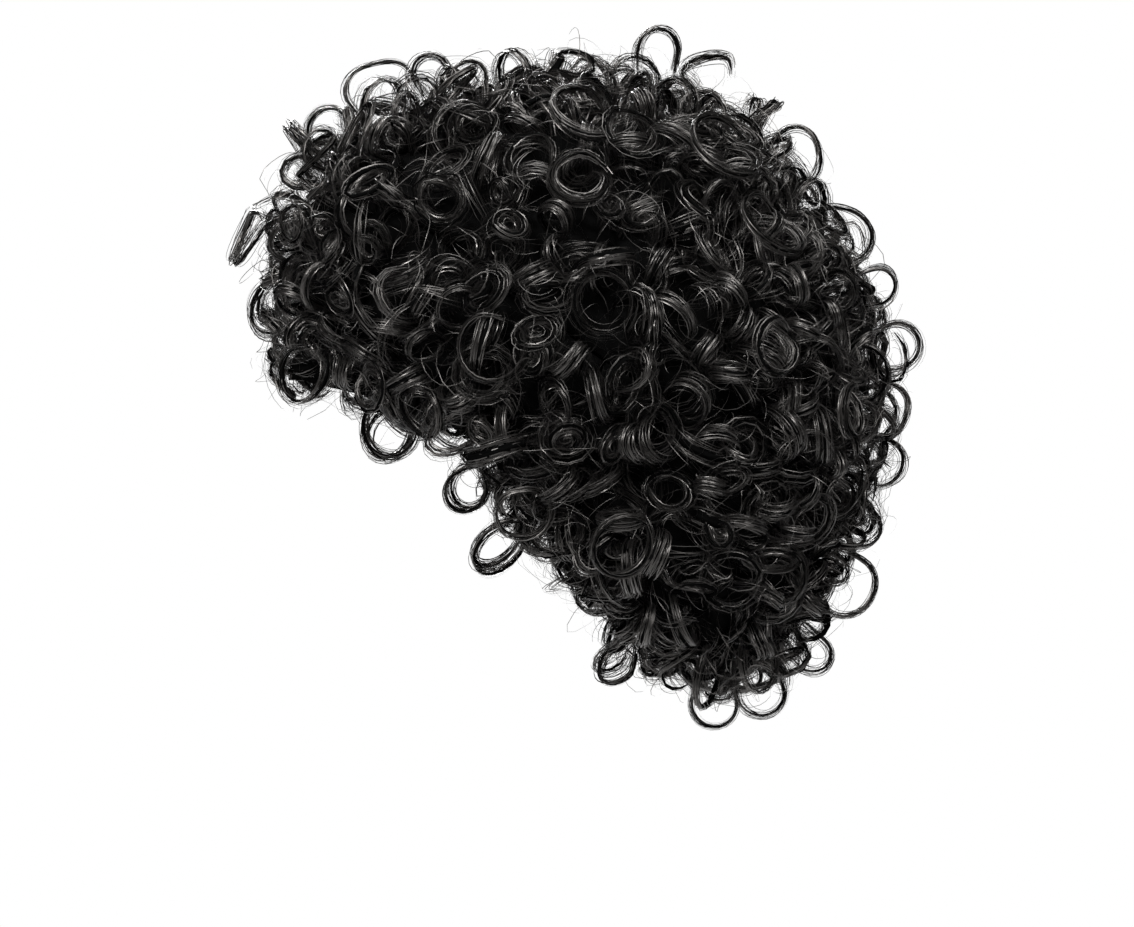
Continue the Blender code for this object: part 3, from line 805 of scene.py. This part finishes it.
def tufts(rng, feet, out):
    """Short tufts that lie across the rings: a part of a wide ring each, with ten strands and no core."""
    n = len(feet)
    places = feet + out * rng.uniform(-5, 4, (n, 1)) * MM
    rings = random_rings(rng, places, out, (9 * MM, 20 * MM), face_share=0.4, sink=0)
    rings["turns"] = rng.uniform(0.3, 0.7, n)
    return lock_strands(rng, rings, copies=10, steps=10, half=0.17 * MM, broad=3.6 * MM, narrow=1.6 * MM)


def lining_bundles(rng, name, ways):
    """Locks against the inner face of a low tier, where it hangs below the cap."""
    reach = inner_reach(search_tree([name]), ways)
    feet = CENTRE + ways * (reach[:, None] + 1 * MM)
    low = ~np.isnan(reach) & (feet[:, 2] < LINING_TOP)
    rings = random_rings(rng, feet[low], -ways[low], (9 * MM, 12 * MM), face_share=0.8, sink=3 * MM)
    return [
        lock_core(rng, rings, steps=11, wide=1.7 * MM, thin=0.8 * MM),
        lock_strands(rng, rings, copies=14, steps=13, half=0.26 * MM, broad=3 * MM, narrow=1.4 * MM),
    ]


lining_ways = spread_ways(rng, 330, inset=1.0, shake=0.03)
for number, name in enumerate(TIERS):
    rng = np.random.default_rng(100 + number)
    rings = random_rings(rng, *chosen(name, outer_feet, outer_out), OUTER_RADIUS, face_share=0.36, sink=0)
    under_places = chosen(name, under_feet, under_out)
    under = random_rings(rng, *under_places, UNDER_RADIUS, face_share=0.5, sink=UNDER_SINK)
    bundles = [
        bed(name),
        lock_core(rng, under, steps=11, wide=2.6 * MM, thin=1.0 * MM),
        lock_strands(rng, under, copies=18, steps=14, half=0.24 * MM, broad=4.4 * MM, narrow=1.8 * MM),
        lock_core(rng, rings, steps=12, wide=1.7 * MM, thin=0.7 * MM),
        lock_strands(rng, rings, copies=31, steps=18, half=0.175 * MM, broad=3.9 * MM, narrow=1.5 * MM),
        tufts(rng, *chosen(name, tuft_feet, tuft_out)),
        stray_strands(rng, *chosen(name, frizz_feet, frizz_out)),
    ]
    if TIERS[name][1] is None and name != "fringe_hair":
        bundles += lining_bundles(rng, name, lining_ways[in_tier(name, lining_ways)])
    total_triangles += piece(name.replace("_hair", "_locks"), bundles, hair_finishes, [name])
print("hair so far:", total_triangles, "triangles")

# %% [markdown]
# ## Loose curls
#
# The curls that stand clear of the round shape have places of their own in the CAD model, because they draw
# the outline and the hairline. Each follows the same oval as its CAD solid, a little further at both ends so
# that it grows out of the hair. Its place is read from the CAD node's box.

# %% Table of the loose curls
CURLS = (
    # name, up_deg, out_deg, radius, long, turns, tip_deg, spin_deg, drift
    ("fringe_coil_curl", 151, 6, 0.0140, 1.0, 0.90, 88, 8, 0.010),
    ("fringe_low_curl", 163, -12, 0.0120, 1.0, 0.62, 40, 60, 0.006),
    ("brow_curl", 171, 30, 0.0130, 1.0, 0.88, 90, 10, 0.006),
    ("front_edge_curl", 138, 8, 0.0085, 1.1, 0.66, 0, 5, 0.006),
    ("front_ring_curl", 133, -8, 0.0105, 1.0, 0.66, 0, 85, 0.006),
    ("crown_wide_curl", 123, 5, 0.0140, 1.0, 0.54, 0, 80, 0.006),
    ("crown_small_curl", 115, -6, 0.0100, 1.0, 0.62, 0, 95, 0.006),
    ("top_ring_curl", 76, 4, 0.0115, 1.0, 0.56, 25, 70, 0.006),
    ("top_flat_curl", 66, -6, 0.0115, 1.0, 0.66, 75, 40, 0.006),
    ("back_tiny_curl", 56, 5, 0.0065, 1.0, 0.66, 0, 80, 0.005),
    ("back_high_curl", 46, 3, 0.0145, 1.0, 0.58, 0, 95, 0.007),
    ("back_shoulder_curl", 31, -4, 0.0130, 1.0, 0.56, 0, 85, 0.007),
    ("back_step_curl", 19, 7, 0.0090, 1.0, 0.62, 0, 60, 0.006),
    ("back_oval_curl", 7, 3, 0.0120, 1.0, 0.62, 0, 70, 0.007),
    ("back_mid_curl", -4, -5, 0.0115, 1.0, 0.58, 0, 100, 0.007),
    ("back_round_curl", -14, 4, 0.0105, 1.0, 0.58, 0, 90, 0.006),
    ("back_low_curl", -25, -6, 0.0085, 1.0, 0.60, 0, 65, 0.006),
    ("back_thin_curl", -36, 4, 0.0140, 1.0, 0.62, 0, 95, 0.007),
    ("nape_high_curl", -48, -4, 0.0100, 1.0, 0.62, 0, 75, 0.006),
    ("nape_mid_curl", -58, 5, 0.0110, 1.0, 0.62, 10, 90, 0.006),
    ("nape_low_curl", -65, -3, 0.0115, 1.0, 0.66, 30, 80, 0.006),
    ("left_temple_curl", 200, 41, 0.0130, 1.0, 0.86, 70, 10, 0.008),
    ("right_temple_curl", 200, -41, 0.0130, 1.0, 0.86, 70, -10, 0.008),
    ("left_sideburn_curl", 220, 60, 0.0095, 1.1, 0.86, 80, 10, 0.007),
    ("right_sideburn_curl", 220, -60, 0.0095, 1.1, 0.86, 80, -10, 0.007),
    ("left_ear_curl", 241, 39, 0.0100, 1.6, 0.90, 80, 15, 0.006),
    ("right_ear_curl", 241, -39, 0.0100, 1.6, 0.90, 80, -15, 0.006),
    ("left_neck_curl", 273, 22, 0.0110, 1.0, 0.66, 70, 75, 0.006),
    ("right_neck_curl", 273, -22, 0.0110, 1.0, 0.66, 70, -75, 0.006),
    ("left_top_curl", 84, 33, 0.0150, 1.0, 0.86, 88, 8, 0.007),
    ("left_high_curl", 84, 49, 0.0140, 1.0, 0.90, 90, 0, 0.007),
    ("left_large_curl", 58, 28, 0.0165, 1.2, 0.92, 88, -8, 0.008),
    ("left_crown_curl", 43, 35, 0.0165, 1.0, 0.88, 86, -8, 0.007),
    ("left_back_curl", 15, 50, 0.0130, 1.0, 0.84, 90, 12, 0.007),
    ("left_back_low_curl", 0, 30, 0.0125, 1.0, 0.86, 86, 10, 0.007),
    ("left_front_curl", 138, 73, 0.0155, 1.0, 0.84, 92, -6, 0.007),
    ("left_lobe_curl", 250, 70, 0.0120, 1.0, 0.86, 90, 8, 0.007),
    ("left_low_curl", 298, 64, 0.0145, 1.0, 0.94, 88, 5, 0.007),
    ("right_top_curl", 80, -38, 0.0145, 1.0, 0.88, 88, -8, 0.007),
    ("right_front_curl", 140, -62, 0.0150, 1.0, 0.86, 90, 10, 0.007),
    ("right_crown_curl", 34, -42, 0.0155, 1.0, 0.86, 86, 8, 0.007),
    ("right_back_curl", -8, -46, 0.0130, 1.0, 0.86, 90, -12, 0.007),
    ("right_low_curl", 286, -58, 0.0145, 1.0, 0.90, 88, -5, 0.007),
)
print(len(CURLS), "loose curls")

# %% Lines of the loose curls
HAIRLINE_INSET = 3.0  # degrees
CURL_CORE = (1.2 * MM, 0.7 * MM)
CORE_STEPS = 20
CURL_STRANDS, CURL_STEPS = 34, 21
CURL_SPREAD = 1.9 * MM
CURL_HALF = 0.20 * MM
CURL_SWAY = 2.5 * MM
END_FROM, END_SLOPE = 0.44, 40 * MM


def curl_ways(up_deg, out_deg, tip_deg, spin_deg):
    """Straight out from the hair, the way the curl stands, the way it rolls and its open side.

    A curl stands at tip_deg from straight out towards the hairline, and is turned by spin_deg about that.
    """
    up, out = math.radians(up_deg), math.radians(out_deg)
    way = np.array([math.sin(out), math.cos(out) * math.cos(up), math.cos(out) * math.sin(up)])
    reach, turn = reach_and_turn(way)
    reach = min(reach, hairline(turn) - HAIRLINE_INSET)
    way, downhill = aim(reach, turn), aim(reach + 90, turn)
    sideways = np.cross(way, downhill)
    tip, spin = math.radians(tip_deg), math.radians(spin_deg)
    stand = way * math.cos(tip) + downhill * math.sin(tip)
    roll = sideways * math.cos(spin) + np.cross(sideways, stand) * math.sin(spin)
    return way, stand, roll, np.cross(roll, stand)


def oval(row, t):
    """Points of a curl's oval, with t from -0.5 to 0.5 over the CAD solid and further for its hidden ends.

    A point is radius * (long * cos a * stand + sin a * roll) + drift * t * side, where a is turns * t full
    turns, and copies of the curl are shifted out and to the side by their own offsets.
    """
    _, up_deg, out_deg, radius, long, turns, tip_deg, spin_deg, drift = row
    way, stand, roll, side = curl_ways(up_deg, out_deg, tip_deg, spin_deg)
    angle = (2 * np.pi * turns * t)[..., None]
    ring = long * np.cos(angle) * stand + np.sin(angle) * roll
    return radius * ring + drift * t[..., None] * side, ring, side, way


def loose_curl(row, seed):
    """One loose curl: a core, dark and shineless as painted shade, and strands round the CAD solid's own line,
    which a slow wave makes uneven.

    Where t is past END_FROM to either side, the curl sinks into the hair by END_SLOPE * (|t| - END_FROM).
    """
    rng = np.random.default_rng(seed)
    name = row[0]
    line, _, side, way = oval(row, np.linspace(-0.5, 0.5, 60))
    low, high = (np.array(corner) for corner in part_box(name))
    middle = (low + high) / 2 - (line.min(0) + line.max(0)) / 2

    phase, bumps, full = rng.uniform(0, ANY_PHASE), rng.uniform(4.0, 7.0), rng.uniform(0.7, 1.15)

    def lines(copies, steps, spread):
        t = np.linspace(-1, 1, steps) * (0.5 + rng.uniform(0.0, 0.12, (copies, 1)))
        line, ring, _, _ = oval(row, t)
        out_by = grouped(rng, 1, copies, steps, spread * full, wave=0.35)[0]
        out_by = out_by + 0.20 * row[3] * np.sin(bumps * t + phase)
        side_by = grouped(rng, 1, copies, steps, 1.7 * spread, wave=0.3)[0]
        side_by = side_by + CURL_SWAY * np.sin(0.8 * bumps * t - phase)
        sunk = np.clip(np.abs(t) - END_FROM, 0, None)[..., None] * END_SLOPE
        return middle + line + ring * out_by[..., None] + side * side_by[..., None] - way * sunk

    wide, thin = np.array(CURL_CORE)[:, None, None] * tapered(CORE_STEPS, root=0.5, tip=0.3)
    # painted shade: the curl's core gets the dark, shineless finish that stands in for shade inside it
    core = bundle(sweep(lines(1, CORE_STEPS, 0.3 * MM), side[None, None, :], wide, thin, sides=5), PAINTED_SHADE)
    strands = lines(CURL_STRANDS, CURL_STEPS, CURL_SPREAD)
    half = CURL_HALF * np.exp(rng.normal(-0.1, 0.3, (CURL_STRANDS, 1)))
    half = half * tapered(CURL_STEPS, root=0.8, tip=0.4)
    lean = leaning(rng, CURL_STRANDS, CURL_STEPS)
    bundles = [core, strips(rails(strands, strands - middle, lean, half), GLOSSY)]
    return piece(name + "_lock", bundles, hair_finishes, [name])


for number, row in enumerate(CURLS):
    total_triangles += loose_curl(row, 500 + number)
print("hair:", total_triangles, "triangles")

# %% [markdown]
# ## The cap
#
# Inside is a cap of stretch net. Rows of hair, called wefts, are machine-sewn to it on flat tapes, and a
# stitched band finishes its rim. The cap is one closed tube of rings: from the top down its outer face, round
# the rim and up its inner face. The tapes and the band are flat hoops that follow the rim's own curve at even
# shares of the way down to it.

# %% Cap finishes
WEAR = 0.12


def cloth_finish(name, thread, gap, roughness, height):
    """Black knit: paler threads round small dark gaps, raised by a bump, with slow uneven wear.

    The cells come from the distance to the nearest of many evenly shaken points on the piece's map.
    """
    tree, shader, material = principled(name, thread, roughness)
    place = tree.nodes.new("ShaderNodeUVMap")
    place.uv_map = "strand_map"
    cells = tree.nodes.new("ShaderNodeTexVoronoi")
    cells.inputs["Scale"].default_value = 1.0
    cells.inputs["Randomness"].default_value = 0.2
    tree.links.new(place.outputs["UV"], cells.inputs["Vector"])
    knit = ramp(tree, cells.outputs["Distance"], gap, thread, start=0.28, stop=0.48)
    wear = tree.nodes.new("ShaderNodeTexNoise")
    wear.inputs["Scale"].default_value = 0.12
    tree.links.new(place.outputs["UV"], wear.inputs["Vector"])
    smooth, rough = roughness - WEAR, roughness + WEAR
    dull = ramp(tree, wear.outputs["Fac"], (smooth,) * 3, (rough,) * 3)
    tree.links.new(knit.outputs["Color"], shader.inputs["Base Color"])
    tree.links.new(dull.outputs["Color"], shader.inputs["Roughness"])
    raise_by(tree, shader, cells.outputs["Distance"], 0.8, height)
    shader.inputs["Specular IOR Level"].default_value = 0.25
    shader.inputs["Sheen Weight"].default_value = 0.1
    return material


net = cloth_finish("stretch_net", (0.020, 0.019, 0.019), (0.0015,) * 3, roughness=0.75, height=0.6 * MM)
tape = cloth_finish("woven_tape", (0.010,) * 3, (0.004,) * 3, roughness=0.62, height=0.3 * MM)
NET, TAPE = 0, 1  # their places in the list of the cap
print("cap finishes:", net.name, tape.name)

# %% Build the cap
RIM_TURN = (0, 38, 66, 90, 114, 150, 180)
RIM_DROP = (0.56, 0.66, 1.16, 1.00, 1.16, 1.52, 1.62)
CAP_WALL = 1.5 * MM
CAP_SIDES, CAP_ROWS = 96, 40
WEFTS = 9
TAPE_WIDE, TAPE_THIN, TAPE_UNDER = 2.8 * MM, 0.45 * MM, 0.3 * MM
BAND_WIDE, BAND_THIN, BAND_ABOVE = 3.6 * MM, 1.0 * MM, 0.02
NET_CELLS = (200, 130)
TAPE_CELLS = (8, 300)


def rim_angle(turn):
    """The angle from the top at which the cap ends: its cosine is 1 less the drop of the CAD rim's table."""
    return np.arccos(1 - flowing(RIM_TURN, RIM_DROP, turn))


def egg(angle, turn, proud):
    """Points of the egg: (sin turn * sin angle, -cos turn * sin angle, cos angle) * (half sizes + proud)."""
    out = np.stack([np.sin(turn) * np.sin(angle), -np.cos(turn) * np.sin(angle), np.cos(angle)], -1)
    return out * (HEAD + proud) + EGG_MIDDLE


def hoops(lines, wide, thin):
    """Flat closed hoops along lines round the cap: ovals, wide up and down the cap and thin across its wall.

    A point is the line + wide * cos(a) * up the wall + thin * sin(a) * out of the wall, for eight angles a.
    """
    along = unit(np.roll(lines, -1, axis=1) - np.roll(lines, 1, axis=1))
    across_wall = unit(lines - EGG_MIDDLE)
    up_wall = np.cross(across_wall, along)
    spin = (2 * np.pi * np.arange(8) / 8)[None, None, :, None]
    rings = lines[:, :, None] + wide * np.cos(spin) * up_wall[:, :, None]
    return rings + thin * np.sin(spin) * across_wall[:, :, None]


cap_turn = -np.linspace(0, 2 * np.pi, CAP_SIDES, endpoint=False)[None, :]
rim_at = rim_angle(np.degrees(cap_turn))
down = np.linspace(0.012, 1, CAP_ROWS)[:, None] * rim_at
shell_rings = np.concatenate([egg(down, cap_turn, CAP_WALL), egg(down, cap_turn, 0.0)[::-1]])
shell = bundle(shell_rings[None], NET, along=NET_CELLS[1])
shell["quad_map"] = shell["quad_map"] * (NET_CELLS[0], 1)
weft_lines = egg(np.linspace(0.14, 0.92, WEFTS)[:, None] * rim_at, cap_turn, -TAPE_UNDER)
band_line = egg(rim_at - BAND_ABOVE, cap_turn, 0.5 * CAP_WALL)
wefts = bundle(hoops(weft_lines, TAPE_WIDE, TAPE_THIN), TAPE, along=TAPE_CELLS[1], looped=True)
edging = bundle(hoops(band_line, BAND_WIDE, BAND_THIN), TAPE, along=TAPE_CELLS[1], looped=True)
for part in (wefts, edging):
    part["quad_map"] = part["quad_map"] * (TAPE_CELLS[0], 1)
total_triangles += piece("net_cap", [shell, wefts, edging], [net, tape], ["wig_cap"])
print("whole wig:", total_triangles, "triangles")

# %% [markdown]
# ## How far the wig stands proud
#
# Hair stands a few millimetres proud of the CAD model, so the wig's box is measured against the CAD box
# and how far it reaches past it on each side is printed. The wig may be no larger than its CAD model,
# apart from the few millimetres that hair stands proud.

# %% Write the sizes and finish
low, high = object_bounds()
proud = [round((a - b) / MM, 1) for a, b in zip((*cad_low, *high), (*low, *cad_high))]
print("proud of the CAD box, mm:", proud)
